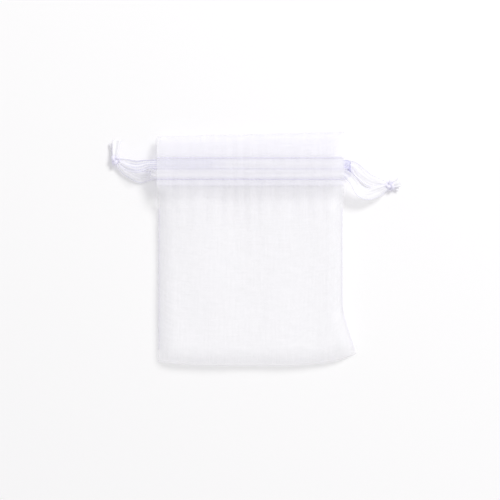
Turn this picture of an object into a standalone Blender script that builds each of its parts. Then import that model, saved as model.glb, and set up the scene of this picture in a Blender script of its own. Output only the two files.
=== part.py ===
"""Drawstring gift pouch: a flat organza pouch lying on its back, with two knotted ribbons in its neck.

Metres, +Z up. The pouch lies in the XY plane with its mouth towards +Y and its front facing up.
Points below are written in the pouch's own frame, where y = 0 is the fold at the bottom.
"""

import math

import bmesh
import bpy
from mathutils import Vector

MM = 0.001

# Pouch
POUCH_WIDTH = 70 * MM
POUCH_HEIGHT = 87 * MM
PUFF_HEIGHT = 7 * MM
PUFF_LEVEL = 24 * MM
FOLD_ROUND = 7.5 * MM
SECTION_POWER = 5
LEFT_CORNER_LIFT = 1.6 * MM
RIGHT_CORNER_LIFT = 4.3 * MM
CORNER_POWER = 4
CORNER_FLARE = 5.3 * MM
FLARE_HEIGHT = 24 * MM
TOP_SLOPE = 0.025

# Cloth, thread and the gap left between one layer and the next
CLOTH_THICKNESS = 0.3 * MM
THREAD_WIDTH = 0.4 * MM
LAYER_GAP = 0.3 * MM

# Neck: hem, casing and mouth
HEADER_HEIGHT = 9.2 * MM
CASING_HEIGHT = 8 * MM
HEM_TURN = 2.4 * MM
MOUTH_GAP = 4.6 * MM
SLIT_LENGTH = 8 * MM

# Side seams
SEAM_INSET = 0.4 * MM
SEAM_ALLOWANCE = 5 * MM
SEAM_START = 6 * MM

# Ribbons, which bunch up to share the casing and spread again outside it
RIBBON_WIDTH = 4.4 * MM
RIBBON_THICKNESS = 0.3 * MM
BUNCHED_WIDTH = 3.1 * MM
SPREAD_LENGTH = 4 * MM
LANE_GAP = 0.6 * MM
BEND_REACH = 2.4 * MM
KNOT_RADIUS = 1.75 * MM
KNOT_LENGTHENING = 1.1
PINCH_LENGTH = 6 * MM
PINCH_SHARE = 0.4
TAIL_WIDTH = 2.2 * MM

# Free ends of the ribbons, in millimetres: out from the neck's edge, up from the casing's lower seam,
# and height above the table
LEFT_KNOT = (15.75, 7.5, 1.95)
LEFT_FRONT_STRAND = [(13.6, 6.7, 2.7), (10.9, 5.5, 3.6), (7.2, 4.8, 5.3), (3.4, 5.6, 6.7)]
LEFT_BACK_STRAND = [(3.6, 1.5, 0.75), (6.6, 1.2, 0.8), (10.0, 2.9, 0.95), (13.0, 4.9, 1.25)]
RIGHT_KNOT = (17.5, -2.0, 1.95)
RIGHT_FRONT_STRAND = [(14.8, -3.2, 2.7), (12.0, -4.5, 3.2), (8.6, -5.4, 4.2), (5.6, -4.0, 5.4), (3.1, -0.4, 6.6)]
RIGHT_BACK_STRAND = [(3.4, 5.5, 0.75), (6.4, 2.6, 0.8), (10.0, -0.2, 0.95), (14.4, -1.5, 1.25)]

# Cut ends beyond the knots, in millimetres from the knot's middle
LEFT_FRONT_TAIL = [(0.0, 2.4, 0.3), (0.2, 4.4, 0.1), (0.5, 7.4, -0.3)]
LEFT_BACK_TAIL = [(-0.3, 2.4, -0.7), (-0.5, 4.2, -1.0), (-0.8, 6.4, -1.2)]
RIGHT_FRONT_TAIL = [(2.2, 0.6, 0.3), (2.9, 0.9, 0.3), (3.7, 1.3, 0.2)]
RIGHT_BACK_TAIL = [(2.2, -0.2, -0.7), (2.8, -0.3, -0.8), (3.4, -0.4, -0.9)]

# Fineness of the meshes
CLOTH_COLUMNS = 18
CLOTH_ROWS = 26
ROW_CROWDING = 1.25
FLAT_ROWS = 10
STRIP_STEPS = 4
KNOT_SEGMENTS = 16
KNOT_RINGS = 10

HALF_WIDTH = POUCH_WIDTH / 2
CASING_TOP = POUCH_HEIGHT - HEADER_HEIGHT
CASING_BOTTOM = CASING_TOP - CASING_HEIGHT
HEM_BOTTOM = CASING_BOTTOM - HEM_TURN
NECK_BOTTOM = HEM_BOTTOM - LAYER_GAP
SEAM_TOP = NECK_BOTTOM - SLIT_LENGTH
LOWER_LANE = CASING_BOTTOM + THREAD_WIDTH / 2 + LAYER_GAP + BUNCHED_WIDTH / 2
UPPER_LANE = LOWER_LANE + BUNCHED_WIDTH + LANE_GAP

# Heights of the middle of each layer in the neck, from the table up
BACK_PANEL_Z = CLOTH_THICKNESS / 2
BACK_RIBBON_Z = CLOTH_THICKNESS + LAYER_GAP + RIBBON_THICKNESS / 2
BACK_HEM_Z = BACK_RIBBON_Z + RIBBON_THICKNESS / 2 + LAYER_GAP + CLOTH_THICKNESS / 2
FRONT_HEM_Z = BACK_HEM_Z + CLOTH_THICKNESS + MOUTH_GAP
FRONT_RIBBON_Z = FRONT_HEM_Z + CLOTH_THICKNESS / 2 + LAYER_GAP + RIBBON_THICKNESS / 2
FRONT_PANEL_Z = FRONT_RIBBON_Z + RIBBON_THICKNESS / 2 + LAYER_GAP + CLOTH_THICKNESS / 2

# Heights where the panels close on each other
FOLD_Z = CLOTH_THICKNESS + LAYER_GAP + CLOTH_THICKNESS / 2
SEAM_Z = CLOTH_THICKNESS + LAYER_GAP + CLOTH_THICKNESS / 2
SIDE_Z = SEAM_Z + CLOTH_THICKNESS + LAYER_GAP


def smoothstep(share):
    share = min(max(share, 0.0), 1.0)
    return share * share * (3 - 2 * share)


def mix(a, b, share):
    return a + (b - a) * share


def clear_scene():
    for obj in list(bpy.data.objects):
        bpy.data.objects.remove(obj, do_unlink=True)


def new_collection(name):
    collection = bpy.data.collections.new(name)
    bpy.context.scene.collection.children.link(collection)
    return collection


def new_material(name, colour, roughness):
    material = bpy.data.materials.new(name)
    material.use_nodes = True
    shader = material.node_tree.nodes["Principled BSDF"]
    shader.inputs["Base Color"].default_value = (*colour, 1.0)
    shader.inputs["Roughness"].default_value = roughness
    shader.inputs["Metallic"].default_value = 0.0
    material.diffuse_color = (*colour, 1.0)
    return material


def new_empty(name, parent, location):
    empty = bpy.data.objects.new(name, None)
    empty.empty_display_size = RIBBON_WIDTH
    empty.parent = parent
    empty.location = location
    pouch.objects.link(empty)
    return empty


def new_part(name, mesh, material, parent, origin=Vector()):
    """Links a part whose mesh is written in the pouch's frame, or about origin, under its parent."""
    mesh.materials.append(material)
    mesh.shade_smooth()
    obj = bpy.data.objects.new(name, mesh)
    obj.parent = parent
    obj.location = origin - (parent.location if parent is not pouch_frame else Vector())
    pouch.objects.link(obj)
    return obj


def new_sheet(name, columns, rows, place, thickness, material, parent):
    """A thin piece: a grid bent by place(across, along), then thickened evenly to both sides."""
    mesh = bpy.data.meshes.new(name)
    grid = bmesh.new()
    bmesh.ops.create_grid(grid, x_segments=columns, y_segments=rows, size=1.0)
    for vertex in grid.verts:
        vertex.co = place(vertex.co.x, (vertex.co.y + 1) / 2)
    grid.to_mesh(mesh)
    grid.free()
    obj = new_part(name, mesh, material, parent)
    solidify = obj.modifiers.new("Thickness", "SOLIDIFY")
    solidify.thickness = thickness
    solidify.offset = 0.0
    return obj


# Outline of the pouch

def bottom_edge(across):
    lift = LEFT_CORNER_LIFT if across < 0 else RIGHT_CORNER_LIFT
    return lift * abs(across) ** CORNER_POWER


def half_width_at(across, y):
    flare = CORNER_FLARE * smoothstep(1 - y / FLARE_HEIGHT)
    return HALF_WIDTH + (flare if across > 0 else 0.0)


def top_edge(x):
    return POUCH_HEIGHT + TOP_SLOPE * x


def outline_point(across, along):
    low = bottom_edge(across)
    y = mix(low, top_edge(across * HALF_WIDTH), along**ROW_CROWDING)
    return across * half_width_at(across, y), y, y - low


# Panels and hems

def front_point(across, along):
    """The front swells between the side seams and runs level across the neck."""
    x, y, rise = outline_point(across, along)
    base = mix(FOLD_Z, SIDE_Z, smoothstep(rise / SEAM_START))
    crest = mix(PUFF_HEIGHT, FRONT_PANEL_Z, smoothstep((y - PUFF_LEVEL) / (NECK_BOTTOM - PUFF_LEVEL)))
    turn = 1 - min(rise / FOLD_ROUND, 1.0)
    in_neck = smoothstep((y - SEAM_TOP) / (NECK_BOTTOM - SEAM_TOP))
    section = mix(1 - abs(across) ** SECTION_POWER, 1.0, in_neck)
    return Vector((x, y, base + (crest - base) * section * math.sqrt(1 - turn * turn)))


def back_point(across, along):
    x, y, _ = outline_point(across, along)
    return Vector((x, y, BACK_PANEL_Z))


def hem_point(z):
    def place(across, along):
        x = across * HALF_WIDTH
        return Vector((x, mix(HEM_BOTTOM, top_edge(x), along), z))
    return place


def make_cloth():
    new_sheet("front_panel", CLOTH_COLUMNS, CLOTH_ROWS, front_point, CLOTH_THICKNESS, organza, pouch_frame)
    new_sheet("back_panel", CLOTH_COLUMNS, FLAT_ROWS, back_point, CLOTH_THICKNESS, organza, pouch_frame)
    new_sheet("front_hem", 1, 1, hem_point(FRONT_HEM_Z), CLOTH_THICKNESS, organza, pouch_frame)
    new_sheet("back_hem", 1, 1, hem_point(BACK_HEM_Z), CLOTH_THICKNESS, organza, pouch_frame)


# Seams

def make_casing_seams():
    """Rows of stitching that hold each hem to its panel above and below the ribbons."""
    for panel, z in (("front", FRONT_RIBBON_Z), ("back", BACK_RIBBON_Z)):
        for level, y in (("upper", CASING_TOP), ("lower", CASING_BOTTOM)):
            def place(across, along, y=y, z=z):
                x = mix(-HALF_WIDTH, HALF_WIDTH, along)
                return Vector((x, y - across * THREAD_WIDTH / 2, z))
            new_sheet(f"{panel}_{level}_seam", 1, 1, place, RIBBON_THICKNESS, thread, pouch_frame)


def make_side_seams():
    """Each side is closed by a row of stitching, with the raw edges turned in behind it."""
    inner_edge = SEAM_INSET + THREAD_WIDTH + LAYER_GAP
    for name, side in (("left", -1), ("right", 1)):
        def strip(first, width):
            def place(across, along):
                y = mix(SEAM_START, SEAM_TOP, along)
                inset = first + (1 - side * across) / 2 * width
                return Vector((side * (half_width_at(side, y) - inset), y, SEAM_Z))
            return place
        stitches = strip(SEAM_INSET, THREAD_WIDTH)
        turning = strip(inner_edge, SEAM_ALLOWANCE)
        new_sheet(f"{name}_side_seam", 1, FLAT_ROWS, stitches, CLOTH_THICKNESS, thread, pouch_frame)
        new_sheet(f"{name}_seam_allowance", 1, FLAT_ROWS, turning, CLOTH_THICKNESS, organza, pouch_frame)


# Drawstrings

def smooth_route(points, steps):
    """Points along a smooth curve through points, steps to each span, on a centripetal spline."""
    before = points[0] * 2 - points[1]
    after = points[-1] * 2 - points[-2]
    padded = [before, *points, after]
    route = [points[0]]
    for a, b, c, d in zip(padded, padded[1:], padded[2:], padded[3:]):
        ab, bc, cd = (math.sqrt((q - p).length) for p, q in ((a, b), (b, c), (c, d)))
        leave = (c - b) + ((b - a) / ab - (c - a) / (ab + bc)) * bc
        arrive = (c - b) + ((d - c) / cd - (d - b) / (bc + cd)) * bc
        for step in range(1, steps + 1):
            t = step / steps
            bend = b * (1 + 2 * t) * (1 - t) ** 2 + leave * t * (1 - t) ** 2
            route.append(bend + c * t * t * (3 - 2 * t) - arrive * t * t * (1 - t))
    return route


def new_ribbon(name, points, widths, crosswise, parent):
    """A flat ribbon along a smooth route; widths(point, distance to the nearer end) gives its width."""
    route = smooth_route(points, STRIP_STEPS)
    travelled = [0.0]
    for a, b in zip(route, route[1:]):
        travelled.append(travelled[-1] + (b - a).length)

    def place(across, along):
        i = round(along * (len(route) - 1))
        forward = (route[min(i + 1, len(route) - 1)] - route[max(i - 1, 0)]).normalized()
        sideways = (crosswise - forward * crosswise.dot(forward)).normalized()
        width = widths(route[i], min(travelled[i], travelled[-1] - travelled[i]))
        return route[i] + sideways * across * width / 2
    return new_sheet(name, 2, len(route) - 1, place, RIBBON_THICKNESS, satin, parent)


def free_point(side, place):
    out, up, height = (value * MM for value in place)
    return Vector((side * (HALF_WIDTH + out), CASING_BOTTOM + up, height))


def at_knot(knot, towards):
    """Where a strand meets its knot, a layer's gap clear of it."""
    return knot + (towards - knot).normalized() * (KNOT_RADIUS * KNOT_LENGTHENING + LAYER_GAP)


def bend_points(side, front_lane, back_lane):
    """The ribbon turns from the front casing into the back one beyond the neck's far end."""
    points = []
    for degrees in (60, 30, 0, -30, -60):
        angle = math.radians(degrees)
        x = side * (HALF_WIDTH + BEND_REACH * math.cos(angle))
        share = (1 - math.sin(angle)) / 2
        y = mix(front_lane, back_lane, smoothstep(share))
        points.append(Vector((x, y, mix(FRONT_RIBBON_Z, BACK_RIBBON_Z, share))))
    return points


def make_knot(name, centre, parent):
    mesh = bpy.data.meshes.new(name)
    ball = bmesh.new()
    bmesh.ops.create_uvsphere(ball, u_segments=KNOT_SEGMENTS, v_segments=KNOT_RINGS, radius=KNOT_RADIUS)
    bmesh.ops.scale(ball, vec=(1.0, KNOT_LENGTHENING, 1.0), verts=ball.verts)
    ball.to_mesh(mesh)
    ball.free()
    new_part(name, mesh, satin, parent, centre)


def make_drawstring(name, side, lanes, knot, strands, tails, tail_crosswise):
    """A ribbon from its knot through the front casing, round and back through the back casing."""
    front_lane, back_lane = lanes
    pull = new_empty(f"{name}_pull", pouch_frame, Vector((side * HALF_WIDTH, front_lane, FRONT_RIBBON_Z)))
    knot = free_point(side, knot)
    front, back = ([free_point(side, place) for place in strand] for strand in strands)
    inset = HALF_WIDTH - RIBBON_WIDTH
    outward = [side * x for x in (-HALF_WIDTH, -inset, inset, HALF_WIDTH)]
    in_front = [Vector((x, front_lane, FRONT_RIBBON_Z)) for x in reversed(outward)]
    behind = [Vector((x, back_lane, BACK_RIBBON_Z)) for x in outward]
    route = [at_knot(knot, front[0]), *front, *in_front]
    route += [*bend_points(-side, front_lane, back_lane), *behind, *back, at_knot(knot, back[-1])]

    def ribbon_width(point, from_knot):
        spread = smoothstep((side * point.x - HALF_WIDTH - BEND_REACH) / SPREAD_LENGTH)
        pinch = smoothstep(from_knot / PINCH_LENGTH)
        return mix(BUNCHED_WIDTH, RIBBON_WIDTH, spread) * mix(PINCH_SHARE, 1.0, pinch)
    new_ribbon(f"{name}_ribbon", route, ribbon_width, Vector((0, 1, 0)), pull)
    make_knot(f"{name}_knot", knot, pull)
    for layer, tail in zip(("front", "back"), tails):
        points = [knot + Vector(place) * MM for place in tail]
        new_ribbon(f"{name}_{layer}_tail", points, lambda point, from_end: TAIL_WIDTH, tail_crosswise, pull)


clear_scene()
pouch = new_collection("drawstring_gift_pouch")
organza = new_material("white_organza", (0.93, 0.92, 0.97), 0.6)
satin = new_material("white_ribbon", (0.95, 0.94, 0.98), 0.4)
thread = new_material("white_thread", (0.90, 0.89, 0.95), 0.7)
pouch_frame = new_empty("pouch_frame", None, Vector((0, -POUCH_HEIGHT / 2, 0)))

make_cloth()
make_casing_seams()
make_side_seams()
make_drawstring(
    "left",
    -1,
    (UPPER_LANE, LOWER_LANE),
    LEFT_KNOT,
    (LEFT_FRONT_STRAND, LEFT_BACK_STRAND),
    (LEFT_FRONT_TAIL, LEFT_BACK_TAIL),
    Vector((1, 0, 0)),
)
make_drawstring(
    "right",
    1,
    (LOWER_LANE, UPPER_LANE),
    RIGHT_KNOT,
    (RIGHT_FRONT_STRAND, RIGHT_BACK_STRAND),
    (RIGHT_FRONT_TAIL, RIGHT_BACK_TAIL),
    Vector((0, 1, 0)),
)
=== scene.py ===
"""Looks of the drawstring gift pouch: sheer organza with stitched seams, and two knotted ribbons in its neck.

Metres, +Z up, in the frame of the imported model. The pouch lies on its back with its mouth towards +Y.
"""

import math

import bpy
import numpy as np
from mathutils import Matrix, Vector


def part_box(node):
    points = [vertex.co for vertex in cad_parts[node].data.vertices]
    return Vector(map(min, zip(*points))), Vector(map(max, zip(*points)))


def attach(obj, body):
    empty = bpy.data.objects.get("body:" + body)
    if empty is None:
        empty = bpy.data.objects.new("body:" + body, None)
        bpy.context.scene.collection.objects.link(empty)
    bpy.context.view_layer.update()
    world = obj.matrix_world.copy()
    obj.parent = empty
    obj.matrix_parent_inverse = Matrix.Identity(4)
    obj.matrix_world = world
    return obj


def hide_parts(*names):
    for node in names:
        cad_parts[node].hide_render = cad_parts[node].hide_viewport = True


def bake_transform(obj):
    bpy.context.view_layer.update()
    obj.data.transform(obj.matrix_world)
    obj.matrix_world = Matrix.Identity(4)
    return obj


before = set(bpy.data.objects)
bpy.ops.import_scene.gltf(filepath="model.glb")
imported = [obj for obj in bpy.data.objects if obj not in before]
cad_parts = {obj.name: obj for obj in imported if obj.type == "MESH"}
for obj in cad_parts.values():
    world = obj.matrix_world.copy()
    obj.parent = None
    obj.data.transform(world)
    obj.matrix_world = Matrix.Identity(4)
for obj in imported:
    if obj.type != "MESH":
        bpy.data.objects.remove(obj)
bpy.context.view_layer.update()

MM = 0.001

# Camera: straight above the pouch, as the photo was taken
CAMERA_HEIGHT = 0.6
CAMERA_CENTRE = (-0.2 * MM, -0.05 * MM)
VIEW_WIDTH = 187.3 * MM
VIEW_LEVEL = 4 * MM
SENSOR_WIDTH = 36.0

# Floor and light
FLOOR_SIZE = 4.0
FLOOR_COLOUR = (0.975, 0.97, 0.97, 1.0)
KEY_PLACE = (0.65, 0.8, 0.95)
KEY_SIZE = 0.45
KEY_POWER = 9.2
KEY_COLOUR = (1.0, 0.995, 0.985)
WORLD_COLOUR = (0.985, 0.985, 1.0, 1.0)
WORLD_LEVEL = 0.7
BACKDROP_LEVEL = 1.0

# Free ends of the ribbons, in millimetres: out from the neck's edge, up from the casing's lower seam,
# and height above the table
LEFT_KNOT = (15.75, 7.5, 1.95)
LEFT_FRONT_STRAND = [(13.6, 6.7, 2.7), (10.9, 5.5, 3.6), (7.2, 4.8, 5.3), (3.4, 5.6, 6.7)]
LEFT_BACK_STRAND = [(3.6, 1.5, 0.75), (6.6, 1.2, 0.8), (10.0, 2.9, 0.95), (13.0, 4.9, 1.25)]
RIGHT_KNOT = (17.5, -2.0, 1.95)
RIGHT_FRONT_STRAND = [
    (14.8, -3.2, 2.7), (12.0, -4.5, 3.2), (8.6, -5.4, 4.2), (5.6, -4.0, 5.4), (3.1, -0.4, 6.6),
]
RIGHT_BACK_STRAND = [(3.4, 5.5, 0.75), (6.4, 2.6, 0.8), (10.0, -0.2, 0.95), (14.4, -1.5, 1.25)]

# Cut ends beyond the knots, in millimetres from the knot's middle
LEFT_FRONT_TAIL = [(0.0, 0.0, 0.0), (0.0, 2.4, 0.3), (0.2, 4.4, 0.1), (0.5, 7.4, -0.3)]
LEFT_BACK_TAIL = [(0.0, 0.0, 0.0), (-0.3, 2.4, -0.7), (-0.5, 4.2, -1.0), (-0.8, 6.4, -1.2)]
RIGHT_FRONT_TAIL = [(0.0, 0.0, 0.0), (2.2, 0.6, 0.3), (2.9, 0.9, 0.3), (3.7, 1.3, 0.2)]
RIGHT_BACK_TAIL = [(0.0, 0.0, 0.0), (2.2, -0.2, -0.7), (2.8, -0.3, -0.8), (3.4, -0.4, -0.9)]

# Ribbon
RIBBON_WIDTH = 4.4 * MM
BUNCHED_WIDTH = 3.1 * MM
SPREAD_LENGTH = 4 * MM
PINCH_LENGTH = 6 * MM
PINCH_SHARE = 0.4
BEND_REACH = 2.4 * MM
LANE_GAP = 0.6 * MM
SEAM_GAP = 0.3 * MM
RIBBON_THICKNESS = 0.14 * MM
SELVEDGE_THICKNESS = 0.26 * MM
RIBBON_COLUMNS = 24
RIBBON_STEP = 0.4 * MM
FOLD_HEIGHT = 0.17 * MM
FOLDS = 1.5
LEFT_CUT_WIDTH = 4.7 * MM
RIGHT_CUT_WIDTH = 4.45 * MM
TAIL_CUT_WIDTH = 3.9 * MM
TAIL_START_WIDTH = 1.6 * MM
TAIL_END_WIDTH = 3.4 * MM
KNOT_SIZE = 0.55 * MM
KNOT_STRAND = 0.62 * MM

# Materials: cover is the share of light that the weave stops, pitches are in millimetres
CLOTH_COVER = 0.4
CLOTH_COLOURS = (0.975, 0.97, 0.995), (0.99, 0.987, 1.0)
HEM_COVER = 0.34
HEM_COLOURS = (0.93, 0.917, 0.99), (0.96, 0.95, 1.0)
DOUBLED_COVER = 0.34
DOUBLED_COLOURS = (0.99, 0.987, 1.0), (0.996, 0.995, 1.0)
CLOTH_PITCHES = (0.36, 0.33)
RIBBON_COVER = 0.36
RIBBON_COLOURS = (0.87, 0.86, 1.0), (0.993, 0.988, 1.0)
# Darker colour of the ribs, and painted shade over the fold where the left ribbon turns round the neck's end
RIB_TINT_AND_FOLD_SHADE = (0.66, 0.65, 0.88)
LEFT_RIBBED = (8.0, 36.0)
RIBBED_FADE = 8.0
FOLD_SHADE_FADE = 1.0
RIB_PITCH = 1.1
PICK_PITCH = 0.7
SELVEDGE_START = 0.88
CUT_END_COVER = 0.8
CUT_END_COLOURS = (0.9, 0.89, 0.97), (0.985, 0.98, 1.0)
KNOT_COVER = 1.0
# The knot's colours are the ribbon's colours darkened with painted shade, as if shaded between its tight
# turns.
KNOT_SHADED_COLOURS = (0.66, 0.63, 0.86), (0.86, 0.84, 0.96)
SEWING_COLOURS = (0.7, 0.68, 0.86), (0.86, 0.84, 0.95)

# Outline of the pouch
LEFT_CORNER_LIFT = 1.6 * MM
RIGHT_CORNER_LIFT = 4.3 * MM
CORNER_POWER = 4
CORNER_FLARE = 5.3 * MM
FLARE_HEIGHT = 24 * MM
TOP_SLOPE = 0.025
PUFF_HEIGHT = 7 * MM
PUFF_LEVEL = 24 * MM
FOLD_ROUND = 7.5 * MM
SECTION_POWER = 14
SLIT_LENGTH = 8 * MM
SEAM_START = 6 * MM

# Cloth
CLOTH_THICKNESS = 0.12 * MM
BACK_Z = 0.12 * MM
ALLOWANCE_Z = 0.3 * MM
SIDE_Z = 0.4 * MM
LIP_SAG = 3.4 * MM
PUCKER_DEPTH = 0.28 * MM
PUCKER_WIDTH = 0.5 * MM
ALLOWANCE_WIDTH = 6.2 * MM
FRONT_FLAT = (70 * MM, 92 * MM)
BACK_FLAT = (70 * MM, 87 * MM)
HEM_FLAT = (70 * MM, 22 * MM)
HALF_COLUMNS = 72
FRONT_ROWS = 176
BACK_ROWS = 88
HEM_ROWS = 44
TURNED_ROWS = 10
TURNED_LIFT = 0.3
RAW_EDGE = 0.3 * MM
ALLOWANCE_COLUMNS = 12
ROW_CROWDING = 1.25

# Stitching
STITCH_LENGTH = 1.55 * MM
STITCH_RADIUS = 0.1 * MM
STITCH_DIP = 0.3 * MM
STITCH_STEPS = 8
SIDE_STITCH_INSET = 0.6 * MM


def smoothstep(share):
    share = np.clip(share, 0.0, 1.0)
    return share * share * (3 - 2 * share)


def mix(a, b, share):
    return a + (b - a) * share


def middle(node):
    low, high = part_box(node)
    return (Vector(low) + Vector(high)) / 2


# Levels read from the model
HALF_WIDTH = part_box("front_hem")[1][0]
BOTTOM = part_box("back_panel")[0][1]
TOP = -BOTTOM
CASING_TOP = middle("front_upper_seam").y
CASING_BOTTOM = middle("front_lower_seam").y
HEM_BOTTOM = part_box("front_hem")[0][1]
SEAM_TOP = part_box("left_side_seam")[1][1]
NECK_BOTTOM = SEAM_TOP + SLIT_LENGTH
FRONT_HEM_Z = middle("front_hem").z
BACK_HEM_Z = middle("back_hem").z
FRONT_RIBBON_Z = middle("front_upper_seam").z
BACK_RIBBON_Z = middle("back_upper_seam").z
FRONT_PANEL_Z = 2 * FRONT_RIBBON_Z - FRONT_HEM_Z
THREAD_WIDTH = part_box("front_lower_seam")[1][1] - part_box("front_lower_seam")[0][1]
LOWER_LANE = CASING_BOTTOM + THREAD_WIDTH / 2 + SEAM_GAP + BUNCHED_WIDTH / 2
UPPER_LANE = LOWER_LANE + BUNCHED_WIDTH + LANE_GAP


# Camera, floor and light

def make_camera():
    data = bpy.data.cameras.new("camera")
    data.sensor_width = SENSOR_WIDTH
    data.lens = SENSOR_WIDTH * (CAMERA_HEIGHT - VIEW_LEVEL) / VIEW_WIDTH
    camera = bpy.data.objects.new("camera", data)
    camera.location = (*CAMERA_CENTRE, CAMERA_HEIGHT)
    bpy.context.scene.collection.objects.link(camera)
    bpy.context.scene.camera = camera


def make_lamp(name, location, target, size, power, colour):
    data = bpy.data.lights.new(name, "AREA")
    data.shape = "DISK"
    data.size = size
    data.energy = power
    data.color = colour
    lamp = bpy.data.objects.new(name, data)
    lamp.location = location
    lamp.rotation_euler = (Vector(target) - Vector(location)).to_track_quat("-Z", "Y").to_euler()
    bpy.context.scene.collection.objects.link(lamp)


def make_stage():
    bpy.ops.mesh.primitive_plane_add(size=FLOOR_SIZE, location=(0, 0, 0))
    floor = bpy.context.object
    floor.name = "floor"
    material = bpy.data.materials.new("pale_paper")
    material.use_nodes = True
    shader = material.node_tree.nodes["Principled BSDF"]
    shader.inputs["Base Color"].default_value = FLOOR_COLOUR
    shader.inputs["Roughness"].default_value = 0.9
    shader.inputs["Specular IOR Level"].default_value = 0.1
    floor.data.materials.append(material)


def make_light():
    make_lamp("key", KEY_PLACE, (0, 0, 0), KEY_SIZE, KEY_POWER, KEY_COLOUR)
    world = bpy.data.worlds.new("studio")
    world.use_nodes = True
    nodes, links = world.node_tree.nodes, world.node_tree.links
    background = nodes["Background"]
    background.inputs["Color"].default_value = WORLD_COLOUR
    path = nodes.new("ShaderNodeLightPath")
    level = nodes.new("ShaderNodeMix")
    level.inputs["A"].default_value = WORLD_LEVEL
    level.inputs["B"].default_value = BACKDROP_LEVEL
    seen = path.outputs["Is Camera Ray"]
    for ray in ("Is Glossy Ray", "Is Transmission Ray"):
        either = nodes.new("ShaderNodeMath")
        either.operation = "MAXIMUM"
        links.new(seen, either.inputs[0])
        links.new(path.outputs[ray], either.inputs[1])
        seen = either.outputs[0]
    links.new(seen, level.inputs["Factor"])
    links.new(level.outputs["Result"], background.inputs["Strength"])
    bpy.context.scene.world = world
    bpy.context.scene.view_settings.view_transform = "Standard"
    bpy.context.scene.cycles.transparent_max_bounces = 32
    bpy.context.scene.cycles.diffuse_bounces = 12
    bpy.context.scene.cycles.max_bounces = 24


# Materials

class Nodes:
    """Short ways to chain shader nodes."""

    def __init__(self, name):
        self.material = bpy.data.materials.new(name)
        self.material.use_nodes = True
        self.tree = self.material.node_tree
        self.shader = self.tree.nodes["Principled BSDF"]

    def link(self, value, socket):
        if isinstance(value, bpy.types.NodeSocket):
            self.tree.links.new(value, socket)
        else:
            socket.default_value = value

    def math(self, operation, *values):
        node = self.tree.nodes.new("ShaderNodeMath")
        node.operation = operation
        for value, socket in zip(values, node.inputs):
            self.link(value, socket)
        return node.outputs[0]

    def uv(self):
        """Distances along and across the cloth, in millimetres."""
        node = self.tree.nodes.new("ShaderNodeUVMap")
        node.uv_map = "cloth"
        split = self.tree.nodes.new("ShaderNodeSeparateXYZ")
        self.link(node.outputs[0], split.inputs[0])
        return [self.math("MULTIPLY", split.outputs[i], 1 / MM) for i in (0, 1)]

    def wave(self, distance, pitch):
        """A swing from 0 to 1 for every pitch of distance."""
        turn = self.math("MULTIPLY", distance, 2 * math.pi / pitch)
        return self.math("MULTIPLY_ADD", self.math("SINE", turn), 0.5, 0.5)

    def stretch(self, distance, start, end, fade):
        """1 between start and end, fading to 0 beyond them."""
        past_start = self.math("SUBTRACT", distance, start)
        inside = self.math("MINIMUM", past_start, self.math("SUBTRACT", end, distance))
        level = self.math("MULTIPLY_ADD", inside, 1 / fade, 1.0)
        return self.math("MINIMUM", self.math("MAXIMUM", level, 0.0), 1.0)

    def noise(self, u, v, sizes, detail=2.0):
        """Noise whose grains are about sizes[0] by sizes[1] millimetres."""
        place = self.tree.nodes.new("ShaderNodeCombineXYZ")
        self.link(self.math("DIVIDE", u, sizes[0]), place.inputs[0])
        self.link(self.math("DIVIDE", v, sizes[1]), place.inputs[1])
        node = self.tree.nodes.new("ShaderNodeTexNoise")
        node.inputs["Scale"].default_value = 1.0
        node.inputs["Detail"].default_value = detail
        self.link(place.outputs[0], node.inputs["Vector"])
        return node.outputs["Fac"]

    def blend(self, share, a, b):
        node = self.tree.nodes.new("ShaderNodeMix")
        node.data_type = "RGBA"
        self.link(share, node.inputs[0])
        for colour, socket in ((a, node.inputs[6]), (b, node.inputs[7])):
            self.link((*colour, 1.0) if isinstance(colour, tuple) else colour, socket)
        return node.outputs[2]

    def bump(self, height, distance, strength):
        node = self.tree.nodes.new("ShaderNodeBump")
        node.inputs["Distance"].default_value = distance
        node.inputs["Strength"].default_value = strength
        self.link(height, node.inputs["Height"])
        self.link(node.outputs[0], self.shader.inputs["Normal"])

    def set(self, **values):
        for name, value in values.items():
            self.link(value, self.shader.inputs[name.replace("_", " ")])


def organza(name, cover, shade, light):
    """Sheer plain weave: fine threads both ways with holes between, and a few thicker threads."""
    n = Nodes(name)
    u, v = n.uv()
    threads = n.math("MAXIMUM", n.wave(u, CLOTH_PITCHES[0]), n.wave(v, CLOTH_PITCHES[1]))
    slubs = n.math("ADD", n.noise(u, v, (9.0, 0.5)), n.noise(u, v, (0.5, 11.0)))
    cloud = n.noise(u, v, (14.0, 14.0))
    alpha = n.math("MULTIPLY_ADD", threads, 0.3, cover - 0.2)
    alpha = n.math("ADD", alpha, n.math("MULTIPLY_ADD", slubs, 0.1, -0.1))
    alpha = n.math("ADD", alpha, n.math("MULTIPLY_ADD", cloud, 0.08, -0.04))
    n.set(
        Base_Color=n.blend(threads, shade, light),
        Roughness=0.5,
        Sheen_Weight=0.15,
        Sheen_Roughness=0.4,
        Specular_IOR_Level=0.3,
        Alpha=n.math("MINIMUM", n.math("MAXIMUM", alpha, 0.05), 1.0),
    )
    n.bump(n.math("ADD", threads, slubs), 0.03 * MM, 0.35)
    return n.material


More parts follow.
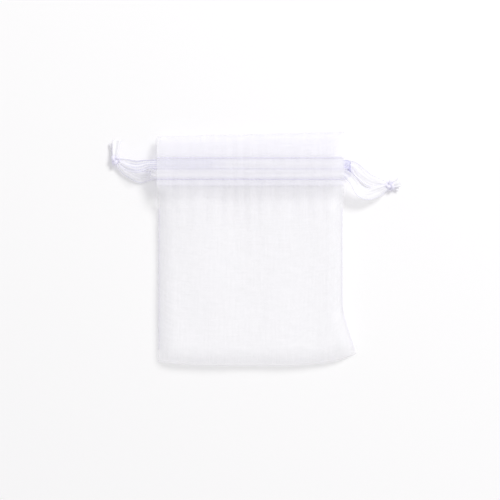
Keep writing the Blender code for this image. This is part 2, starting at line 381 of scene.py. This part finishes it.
def ribbon_weave(name, cover, shade, light, ribbed=None, turned=None):
    """Ribbon woven with fine lengthwise ribs, with a denser selvedge along each edge, darker partly from its
    denser weave and partly from painted shade.

    The ribs are darker over the stretch named ribbed. Over the stretch named turned, where the ribbon folds
    round, all of it is darkened with painted shade.
    """
    n = Nodes(name)
    u, v = n.uv()
    ribs = n.wave(u, RIB_PITCH)
    picks = n.wave(v, PICK_PITCH)
    streaks = n.noise(u, v, (0.35, 12.0))
    edge = n.math("ABSOLUTE", n.math("DIVIDE", u, RIBBON_WIDTH / MM / 2))
    selvedge = n.math("GREATER_THAN", edge, SELVEDGE_START)
    height = n.math("ADD", n.math("ADD", ribs, selvedge), n.math("MULTIPLY", picks, 0.25))
    tone = n.math("MULTIPLY_ADD", streaks, 0.3, 0.8)
    # The selvedge's darker tone is partly its denser weave and partly painted shade, standing for the dark
    # lines along the ribbon's edges.
    tone = n.math("SUBTRACT", tone, n.math("MULTIPLY", selvedge, 0.6))
    colour = n.blend(tone, shade, light)
    if ribbed:
        weave = n.math("MULTIPLY", n.math("MULTIPLY_ADD", picks, 0.5, 0.5), n.math("SUBTRACT", 1.0, ribs))
        along_ribs = n.stretch(v, *ribbed, RIBBED_FADE)
        colour = n.blend(n.math("MULTIPLY", weave, along_ribs), colour, RIB_TINT_AND_FOLD_SHADE)
    # Painted shade: the stretch where the ribbon folds round the neck's end is darkened as if in the fold's
    # shadow.
    if turned:
        colour = n.blend(n.stretch(v, *turned, FOLD_SHADE_FADE), colour, RIB_TINT_AND_FOLD_SHADE)
    alpha = n.math("MULTIPLY_ADD", selvedge, 0.25, n.math("MULTIPLY_ADD", ribs, 0.08, cover - 0.04))
    n.set(
        Base_Color=colour,
        Roughness=0.38,
        Sheen_Weight=0.1,
        Specular_IOR_Level=0.4,
        Anisotropic=0.4,
        Alpha=n.math("MINIMUM", alpha, 1.0),
    )
    n.bump(height, 0.05 * MM, 0.25)
    return n.material


def sewing_thread(name):
    n = Nodes(name)
    u, v = n.uv()
    twist = n.wave(n.math("ADD", n.math("MULTIPLY", u, 0.6), v), 0.22)
    n.set(
        Base_Color=n.blend(twist, *SEWING_COLOURS),
        Roughness=0.6,
        Specular_IOR_Level=0.2,
    )
    n.bump(twist, 0.03 * MM, 0.4)
    return n.material


# Meshes

def new_piece(name, points, faces, sharp_from, uvs, material):
    """A mesh whose faces from sharp_from on are its rims; uvs are distances along the cloth."""
    mesh = bpy.data.meshes.new(name)
    mesh.from_pydata(points.reshape(-1, 3).tolist(), [], faces)
    smooth = np.arange(len(faces)) < sharp_from
    mesh.polygons.foreach_set("use_smooth", smooth)
    corners = np.empty(len(mesh.loops), int)
    mesh.loops.foreach_get("vertex_index", corners)
    layer = mesh.uv_layers.new(name="cloth")
    layer.data.foreach_set("uv", uvs.reshape(-1, 2)[corners].astype(np.float32).ravel())
    mesh.materials.append(material)
    mesh.update()
    piece = bpy.data.objects.new(name, mesh)
    bpy.context.scene.collection.objects.link(piece)
    return piece


def grid_normals(points):
    """Unit normals of a grid of points, rows running along and columns across."""
    normals = np.cross(np.gradient(points, axis=1), np.gradient(points, axis=0))
    return normals / np.linalg.norm(normals, axis=2, keepdims=True)


def grid_lengths(points, centre_column):
    """Distances across and along a grid, measured on it from centre_column and from its first row."""
    across = np.linalg.norm(np.diff(points, axis=1), axis=2)
    across = np.concatenate([np.zeros((len(points), 1)), np.cumsum(across, axis=1)], axis=1)
    across = across - across[:, [centre_column]]
    along = np.linalg.norm(np.diff(points, axis=0), axis=2)
    along = np.concatenate([np.zeros((1, points.shape[1])), np.cumsum(along, axis=0)], axis=0)
    return np.stack([across, along], axis=2)


def grid_faces(index):
    return np.stack([index[:-1, :-1], index[:-1, 1:], index[1:, 1:], index[1:, :-1]], axis=2).reshape(-1, 4)


def sheer_sheet(name, points, uvs, material):
    """One layer of sheer cloth, thinner than can be seen, as a single surface."""
    rows, columns = points.shape[:2]
    faces = grid_faces(np.arange(rows * columns).reshape(rows, columns)).tolist()
    return new_piece(name, points, faces, len(faces), uvs, material)


def sheet_faces(rows, columns):
    """Faces of a closed sheet: upper grid, lower grid, then the four rims between them."""
    index = np.arange(rows * columns).reshape(rows, columns)
    upper = grid_faces(index)
    lower = upper[:, ::-1] + rows * columns
    border = np.concatenate([index[0, :-1], index[:-1, -1], index[-1, :0:-1], index[:0:-1, 0]])
    after = np.roll(border, -1)
    rims = np.stack([after, border, border + rows * columns, after + rows * columns], axis=1)
    return np.concatenate([upper, lower, rims]).tolist(), len(upper) * 2


def closed_sheet(name, points, normals, thickness, uvs, material):
    """A thin closed sheet about a grid of points; thickness may differ from column to column."""
    half = np.broadcast_to(np.asarray(thickness) / 2, points.shape[1])[None, :, None]
    faces, sharp_from = sheet_faces(*points.shape[:2])
    both = np.stack([points + normals * half, points - normals * half])
    return new_piece(name, both, faces, sharp_from, np.stack([uvs, uvs]), material)


def tube(name, route, radius, sides, material, flat=1.0):
    """A round thread along a route, closed at both ends; flat squeezes its section upright."""
    forward = np.gradient(route, axis=0)
    forward /= np.linalg.norm(forward, axis=1, keepdims=True)
    aside = np.cross(forward, (0.0, 0.0, 1.0)) + np.array((1e-6, 0.0, 0.0))
    aside /= np.linalg.norm(aside, axis=1, keepdims=True)
    upward = np.cross(aside, forward)
    angles = np.arange(sides) * 2 * math.pi / sides
    ring = aside[:, None] * np.cos(angles)[None, :, None]
    ring = ring + upward[:, None] * np.sin(angles)[None, :, None] * flat
    points = route[:, None] + ring * radius
    index = np.arange(len(route) * sides).reshape(len(route), sides)
    turned = np.roll(index, -1, axis=1)
    walls = np.stack([index[:-1], turned[:-1], turned[1:], index[1:]], axis=2).reshape(-1, 4).tolist()
    ends = [index[0, ::-1].tolist(), index[-1].tolist()]
    travelled = np.concatenate([[0], np.cumsum(np.linalg.norm(np.diff(route, axis=0), axis=1))])
    around = np.broadcast_to(angles * radius, index.shape)
    uvs = np.stack([around, np.broadcast_to(travelled[:, None], index.shape)], axis=2)
    return new_piece(name, points, walls + ends, len(walls), uvs, material)


# Shape of the cloth

def waves(x, y, seed, count, longest, shortest, height):
    """A gentle unevenness: count crossing waves of lengths between shortest and longest."""
    source = np.random.default_rng(seed)
    total = np.zeros_like(x)
    for _ in range(count):
        heading = source.uniform(0, math.pi)
        length = source.uniform(shortest, longest)
        phase = source.uniform(0, 2 * math.pi)
        total += np.sin((x * math.cos(heading) + y * math.sin(heading)) * 2 * math.pi / length + phase)
    return total * height / math.sqrt(count)


def ripple(x, y):
    """Upright folds where the casing has gathered the cloth, from -1 to 1."""
    x, y = x / MM, y / MM
    return np.sin(2 * math.pi * x / 5.6 + 1.5 * np.sin(x / 8.7 + 0.7) + 0.9 * np.sin(x / 4.3 + y * 0.05))


def ripple_height(y):
    y = (y - CASING_BOTTOM) / MM
    gathered = 0.07 * smoothstep((y + 30) / 26)
    return (gathered + 0.09 * np.exp(-(((y + 9) / 6) ** 2))) * MM


def sag(y):
    """How far the front of the mouth sinks towards the back between the casing and the lip."""
    return LIP_SAG * smoothstep((y - CASING_TOP) / (TOP - CASING_TOP))


def pucker(x, y):
    """How far the stitching draws the layers together."""
    depth = 0.0
    for seam in (CASING_TOP, CASING_BOTTOM):
        bite = 0.8 + 0.2 * np.sin(2 * math.pi * x / STITCH_LENGTH)
        depth = depth + PUCKER_DEPTH * bite * np.exp(-(((y - seam) / PUCKER_WIDTH) ** 2))
    return depth


def outline(across, along):
    """x, y and the rise above the bottom fold for a place on the flat pouch."""
    low = BOTTOM + np.where(across < 0, LEFT_CORNER_LIFT, RIGHT_CORNER_LIFT) * np.abs(across) ** CORNER_POWER
    top = TOP + TOP_SLOPE * across * HALF_WIDTH
    y = mix(low, top, along**ROW_CROWDING)
    flare = CORNER_FLARE * smoothstep(1 - (y - BOTTOM) / FLARE_HEIGHT)
    return across * (HALF_WIDTH + np.where(across > 0, flare, 0.0)), y, y - low


def panel_grid(rows):
    along, across = np.meshgrid(
        np.linspace(0, 1, rows + 1), np.linspace(-1, 1, 2 * HALF_COLUMNS + 1), indexing="ij"
    )
    return across, along


def front_points():
    across, along = panel_grid(FRONT_ROWS)
    x, y, rise = outline(across, along)
    base = mix(BACK_Z, SIDE_Z, smoothstep(rise / SEAM_START))
    to_neck = smoothstep((y - BOTTOM - PUFF_LEVEL) / (NECK_BOTTOM - BOTTOM - PUFF_LEVEL))
    crest = mix(PUFF_HEIGHT, FRONT_PANEL_Z, to_neck)
    turn = 1 - np.minimum(rise / FOLD_ROUND, 1.0)
    in_neck = smoothstep((y - SEAM_TOP) / SLIT_LENGTH)
    section = mix(1 - np.abs(across) ** SECTION_POWER, 1.0, in_neck) * np.sqrt(1 - turn * turn)
    z = base + (crest - base) * section
    loose = section * (1 - in_neck)
    z = z + loose * waves(x, y, 11, 6, 42 * MM, 22 * MM, 0.35 * MM)
    crinkle = section * waves(x, y, 5, 14, 9 * MM, 3.5 * MM, 0.05 * MM)
    z = z + crinkle * mix(1.0, 0.4, in_neck)
    z = z + section * ripple(x, y) * ripple_height(y) - pucker(x, y) - sag(y)
    return np.stack([x, y, z], axis=2)


def back_points():
    across, along = panel_grid(BACK_ROWS)
    x, y, rise = outline(across, along)
    z = BACK_Z + 0.03 * MM * (1 + ripple(x, y)) * smoothstep(rise / SEAM_START)
    return np.stack([x, y, z], axis=2)


def hem_points(z, panel_z, follow, sinks):
    """The hem hangs inside from the fold at the panel's upper edge, and its raw edge is turned under."""
    turned = np.linspace(1, 0, TURNED_ROWS + 1)[:, None]
    hanging = np.linspace(0, 1, HEM_ROWS + 1)[1:, None]
    x = np.linspace(-HALF_WIDTH, HALF_WIDTH, 2 * HALF_COLUMNS + 1)[None, :]
    top = TOP + TOP_SLOPE * x
    y = np.concatenate([
        np.broadcast_to(mix(HEM_BOTTOM, CASING_BOTTOM + RAW_EDGE, turned), (TURNED_ROWS + 1, x.shape[1])),
        mix(HEM_BOTTOM, top, hanging),
    ])
    x = np.broadcast_to(x, y.shape)
    to_panel = panel_z - z
    fold = np.clip(1 - (top - y) / (0.5 * MM), 0.0, 1.0)
    lift = 1 - np.sqrt(1 - fold * fold)
    lift[:TURNED_ROWS] = TURNED_LIFT * np.sqrt(np.minimum((y[:TURNED_ROWS] - HEM_BOTTOM) / (0.4 * MM), 1.0))
    level = z + to_panel * lift + follow * ripple(x, y) * ripple_height(y) - sinks * sag(y)
    return np.stack([x, y, level + np.sign(to_panel) * pucker(x, y) * (1 - lift)], axis=2)


def allowance_points(side):
    """The raw edges turned in behind the side seam."""
    along, share = np.meshgrid(
        np.linspace(0, 1, BACK_ROWS + 1), np.linspace(0, 1, ALLOWANCE_COLUMNS + 1), indexing="ij"
    )
    low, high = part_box("left_seam_allowance" if side < 0 else "right_seam_allowance")
    y = mix(low[1], high[1], along)
    flare = CORNER_FLARE * smoothstep(1 - (y - BOTTOM) / FLARE_HEIGHT) if side > 0 else 0.0
    inset = share * ALLOWANCE_WIDTH + 0.2 * MM * waves(y, y * 0, 3, 5, 11 * MM, 3 * MM, 1.0) * share
    x = side * (HALF_WIDTH + flare - inset)
    z = ALLOWANCE_Z + 0.3 * MM * share * (1 + 0.6 * waves(x, y, 8, 5, 16 * MM, 6 * MM, 1.0))
    points = np.stack([x, y, z], axis=2)
    return points if side < 0 else points[:, ::-1]


def gather(piece):
    """Bakes the piece's placement into its mesh; the cloth is not drawn in here."""
    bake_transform(piece)


def make_halves(name, points, material, node):
    """One layer of cloth as a left and a right half."""
    uvs = grid_lengths(points, HALF_COLUMNS)
    halves = []
    for side, columns in ((-1, slice(None, HALF_COLUMNS + 1)), (1, slice(HALF_COLUMNS, None))):
        word = "left" if side < 0 else "right"
        half = sheer_sheet(f"{name}_{word}", points[:, columns], uvs[:, columns], material)
        gather(half)
        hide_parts(node)
        halves.append(half)
    return halves


def stitch_row(name, places, material, node):
    """A thread that shows as stitches on the cloth's face and dips into it between them."""
    steps = len(places) - 1
    turns = np.abs(np.sin(np.arange(steps + 1) * math.pi / STITCH_STEPS))
    route = places.copy()
    route[:, 2] += STITCH_DIP * (np.sqrt(turns) - 1)
    row = tube(name, route, STITCH_RADIUS, 6, material)
    gather(row)
    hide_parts(node)
    return row


# Ribbons

def smooth_route(points, steps):
    """Points along a smooth curve through points, steps to each span, on a centripetal spline."""
    points = [Vector(point) for point in points]
    padded = [points[0] * 2 - points[1], *points, points[-1] * 2 - points[-2]]
    route = [points[0]]
    for a, b, c, d in zip(padded, padded[1:], padded[2:], padded[3:]):
        ab, bc, cd = (math.sqrt((q - p).length) for p, q in ((a, b), (b, c), (c, d)))
        leave = (c - b) + ((b - a) / ab - (c - a) / (ab + bc)) * bc
        arrive = (c - b) + ((d - c) / cd - (d - b) / (bc + cd)) * bc
        for step in range(1, steps + 1):
            t = step / steps
            bend = b * (1 + 2 * t) * (1 - t) ** 2 + leave * t * (1 - t) ** 2
            route.append(bend + c * t * t * (3 - 2 * t) - arrive * t * t * (1 - t))
    return np.array(route)


def travelled_along(route):
    return np.concatenate([[0], np.cumsum(np.linalg.norm(np.diff(route, axis=0), axis=1))])


def even_route(points, step):
    """A smooth route through points, cut into even steps."""
    fine = smooth_route(points, 24)
    travelled = travelled_along(fine)
    count = max(int(round(travelled[-1] / step)), 4)
    places = np.linspace(0, travelled[-1], count + 1)
    return np.stack([np.interp(places, travelled, fine[:, axis]) for axis in range(3)], axis=1)


def free_point(side, place):
    out, up, height = (value * MM for value in place)
    return Vector((side * (HALF_WIDTH + out), CASING_BOTTOM + up, height))


def bend_points(side, front_lane, back_lane):
    """The ribbon turns from the front casing into the back one beyond the neck's far end."""
    points = []
    for degrees in (60, 30, 0, -30, -60):
        angle = math.radians(degrees)
        share = (1 - math.sin(angle)) / 2
        x = side * (HALF_WIDTH + BEND_REACH * math.cos(angle))
        y = mix(front_lane, back_lane, float(smoothstep(share)))
        points.append(Vector((x, y, mix(FRONT_RIBBON_Z, BACK_RIBBON_Z, share))))
    return points


def ribbon_strip(name, route, widths, cut_width, crosswise, material, seed):
    """A ribbon along a route; where it is narrower than it is cut, it folds lengthwise."""
    forward = np.gradient(route, axis=0)
    forward /= np.linalg.norm(forward, axis=1, keepdims=True)
    crosswise = np.asarray(crosswise, float)
    sideways = crosswise - forward * (forward @ crosswise)[:, None]
    sideways /= np.linalg.norm(sideways, axis=1, keepdims=True)
    facing = np.cross(forward, sideways)
    travelled = travelled_along(route)
    across = np.linspace(-1, 1, RIBBON_COLUMNS + 1)
    slack = np.sqrt(np.clip(cut_width / widths - 1, 0.0, None))
    height = np.minimum(widths * slack / (math.pi * FOLDS), FOLD_HEIGHT)
    drift = 0.7 * np.sin(travelled / (9 * MM) + seed) + 0.4 * np.sin(travelled / (3.7 * MM) + 2 * seed)
    swing = np.cos(math.pi * FOLDS * across[None, :] + drift[:, None])
    points = (
        route[:, None]
        + sideways[:, None] * (across[None, :] * widths[:, None] / 2)[:, :, None]
        + facing[:, None] * (height[:, None] * swing)[:, :, None]
    )
    normals = grid_normals(points)
    flat = np.broadcast_to(across * RIBBON_WIDTH / 2, points.shape[:2])
    uvs = np.stack([flat, np.broadcast_to(travelled[:, None], points.shape[:2])], axis=2)
    thickness = np.where(np.abs(across) > 0.9, SELVEDGE_THICKNESS, RIBBON_THICKNESS)
    return closed_sheet(name, points, normals, thickness, uvs, material)


def overhand_knot(name, centre, tilt, material):
    """The two ends tied together: one strand looped through itself and drawn tight."""
    t = np.linspace(0, 2 * math.pi, 121)
    x, y, z = np.sin(t) + 2 * np.sin(2 * t), np.cos(t) - 2 * np.cos(2 * t), -1.25 * np.sin(3 * t)
    loop = np.stack([x, y, z], axis=1)
    turn = np.array([[math.cos(tilt), -math.sin(tilt), 0], [math.sin(tilt), math.cos(tilt), 0], [0, 0, 1]])
    route = loop @ turn.T * KNOT_SIZE * np.array((0.8, 0.9, 0.8)) + np.array(centre)
    return tube(name, route, KNOT_STRAND, 12, material, 0.8)


def make_drawstring(name, side, lanes, knot, strands, cut_width, tails, tail_crosswise, ribbed):
    """A ribbon from its knot through the front casing, round and back through the back casing."""
    front_lane, back_lane = lanes
    body = f"{name}_drawstring"
    knot = free_point(side, knot)
    front, back = ([free_point(side, place) for place in strand] for strand in strands)
    inset = HALF_WIDTH - RIBBON_WIDTH
    outward = [side * x for x in (-HALF_WIDTH, -inset, inset, HALF_WIDTH)]
    in_front = [Vector((x, front_lane, FRONT_RIBBON_Z)) for x in reversed(outward)]
    behind = [Vector((x, back_lane, BACK_RIBBON_Z)) for x in outward]
    points = [knot, *front, *in_front, *bend_points(-side, front_lane, back_lane), *behind, *back, knot]
    route = even_route(points, RIBBON_STEP)
    travelled = travelled_along(route)
    from_knot = np.minimum(travelled, travelled[-1] - travelled)
    spread = smoothstep((side * route[:, 0] - HALF_WIDTH - BEND_REACH) / SPREAD_LENGTH)
    pinch = smoothstep(from_knot / PINCH_LENGTH)
    widths = mix(BUNCHED_WIDTH, RIBBON_WIDTH, spread) * mix(PINCH_SHARE, 1.0, pinch)
    # The stretch beyond the neck's end, where the ribbon folds round, gets painted shade.
    turn = travelled[-side * route[:, 0] > HALF_WIDTH] / MM
    turned = (turn[0], turn[-1]) if ribbed else None
    material = ribbon_weave(f"{name}_satin_ribbon", RIBBON_COVER, *RIBBON_COLOURS, ribbed, turned)
    ribbon = ribbon_strip(f"{name}_ribbon_strip", route, widths, cut_width, (0, 1, 0), material, 1.0 + side)
    pieces = [(ribbon, f"{name}_ribbon")]
    # The knot gets the ribbon's colours darkened with painted shade.
    pieces.append((overhand_knot(f"{name}_tied_knot", knot, 0.5 * side, shaded_knot_satin), f"{name}_knot"))
    for layer, tail in zip(("front", "back"), tails):
        line = even_route([knot + Vector(place) * MM for place in tail], RIBBON_STEP / 2)
        reach = np.linspace(0, 1, len(line))
        tail_widths = mix(TAIL_START_WIDTH, TAIL_END_WIDTH, reach)
        end = ribbon_strip(
            f"{name}_{layer}_cut_end", line, tail_widths, TAIL_CUT_WIDTH, tail_crosswise, satin, 2.0 + side
        )
        pieces.append((end, f"{name}_{layer}_tail"))
    for piece, node in pieces:
        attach(piece, body)
        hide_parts(node)


def make_cloth():
    front, back = front_points(), back_points()
    front_hem = hem_points(FRONT_HEM_Z, FRONT_PANEL_Z, 0.4, 1.0)
    back_hem = hem_points(BACK_HEM_Z, BACK_Z, 0.3, 0.0)
    layers = [
        ("front_cloth", front, cloth, "front_panel", FRONT_FLAT, "back_cloth_left"),
        ("back_cloth", back, cloth, "back_panel", BACK_FLAT, "floor"),
        ("front_hem_cloth", front_hem, hem_cloth, "front_hem", HEM_FLAT, "left_ribbon_strip"),
        ("back_hem_cloth", back_hem, hem_cloth, "back_hem", HEM_FLAT, "left_ribbon_strip"),
    ]
    for name, points, material, node, flat, below in layers:
        for half in make_halves(name, points, material, node):
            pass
    for side, word in ((-1, "left"), (1, "right")):
        points = allowance_points(side)
        turning = sheer_sheet(f"{word}_turned_in_edges", points, grid_lengths(points, 0), double_cloth)
        gather(turning)
        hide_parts(f"{word}_seam_allowance")
    return front, back_hem


def along_row(points, y, count):
    """Places at height y on a grid of points, evenly spaced from its left edge to its right one."""
    columns = points.shape[1]
    line = np.empty((columns, 3))
    for column in range(columns):
        strip = points[:, column]
        line[column] = [np.interp(y, strip[:, 1], strip[:, axis]) for axis in range(3)]
    xs = np.linspace(line[0, 0], line[-1, 0], count + 1)
    return np.stack([np.interp(xs, line[:, 0], line[:, axis]) for axis in range(3)], axis=1)


def make_stitching(front, back_hem):
    count = int(round(2 * HALF_WIDTH / STITCH_LENGTH / 2)) * 2 * STITCH_STEPS
    rows = [
        ("front_upper", front, CASING_TOP),
        ("front_lower", front, CASING_BOTTOM),
        ("back_upper", back_hem, CASING_TOP),
        ("back_lower", back_hem, CASING_BOTTOM),
    ]
    for name, points, y in rows:
        places = along_row(points, y, count)
        places[:, 2] += CLOTH_THICKNESS / 2 + STITCH_RADIUS
        for side, part in ((-1, slice(None, count // 2 + 1)), (1, slice(count // 2, None))):
            word = "left" if side < 0 else "right"
            stitch_row(f"{name}_stitches_{word}", places[part], sewing, f"{name}_seam")
    for side, word in ((-1, "left"), (1, "right")):
        low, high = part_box(f"{word}_side_seam")
        steps = int(round((high[1] - low[1]) / STITCH_LENGTH)) * STITCH_STEPS
        y = np.linspace(low[1], high[1], steps + 1)
        flare = CORNER_FLARE * smoothstep(1 - (y - BOTTOM) / FLARE_HEIGHT) if side > 0 else 0 * y
        x = side * (HALF_WIDTH + flare - SIDE_STITCH_INSET)
        z = np.full_like(y, SIDE_Z + CLOTH_THICKNESS + STITCH_RADIUS)
        stitch_row(f"{word}_side_stitches", np.stack([x, y, z], axis=1), sewing, f"{word}_side_seam")


make_camera()
make_stage()
make_light()

cloth = organza("sheer_organza", CLOTH_COVER, *CLOTH_COLOURS)
hem_cloth = organza("hem_organza", HEM_COVER, *HEM_COLOURS)
double_cloth = organza("doubled_organza", DOUBLED_COVER, *DOUBLED_COLOURS)
satin = ribbon_weave("satin_ribbon", CUT_END_COVER, *CUT_END_COLOURS)
# The knot's material is a darker copy of the ribbon's, with painted shade.
shaded_knot_satin = ribbon_weave("knotted_ribbon_painted_shade", KNOT_COVER, *KNOT_SHADED_COLOURS)
sewing = sewing_thread("sewing_thread")

make_drawstring(
    "left",
    -1,
    (UPPER_LANE, LOWER_LANE),
    LEFT_KNOT,
    (LEFT_FRONT_STRAND, LEFT_BACK_STRAND),
    LEFT_CUT_WIDTH,
    (LEFT_FRONT_TAIL, LEFT_BACK_TAIL),
    (1, 0, 0),
    LEFT_RIBBED,
)
make_drawstring(
    "right",
    1,
    (LOWER_LANE, UPPER_LANE),
    RIGHT_KNOT,
    (RIGHT_FRONT_STRAND, RIGHT_BACK_STRAND),
    RIGHT_CUT_WIDTH,
    (RIGHT_FRONT_TAIL, RIGHT_BACK_TAIL),
    (0, 1, 0),
    None,
)
front_sheet, back_hem_sheet = make_cloth()
make_stitching(front_sheet, back_hem_sheet)
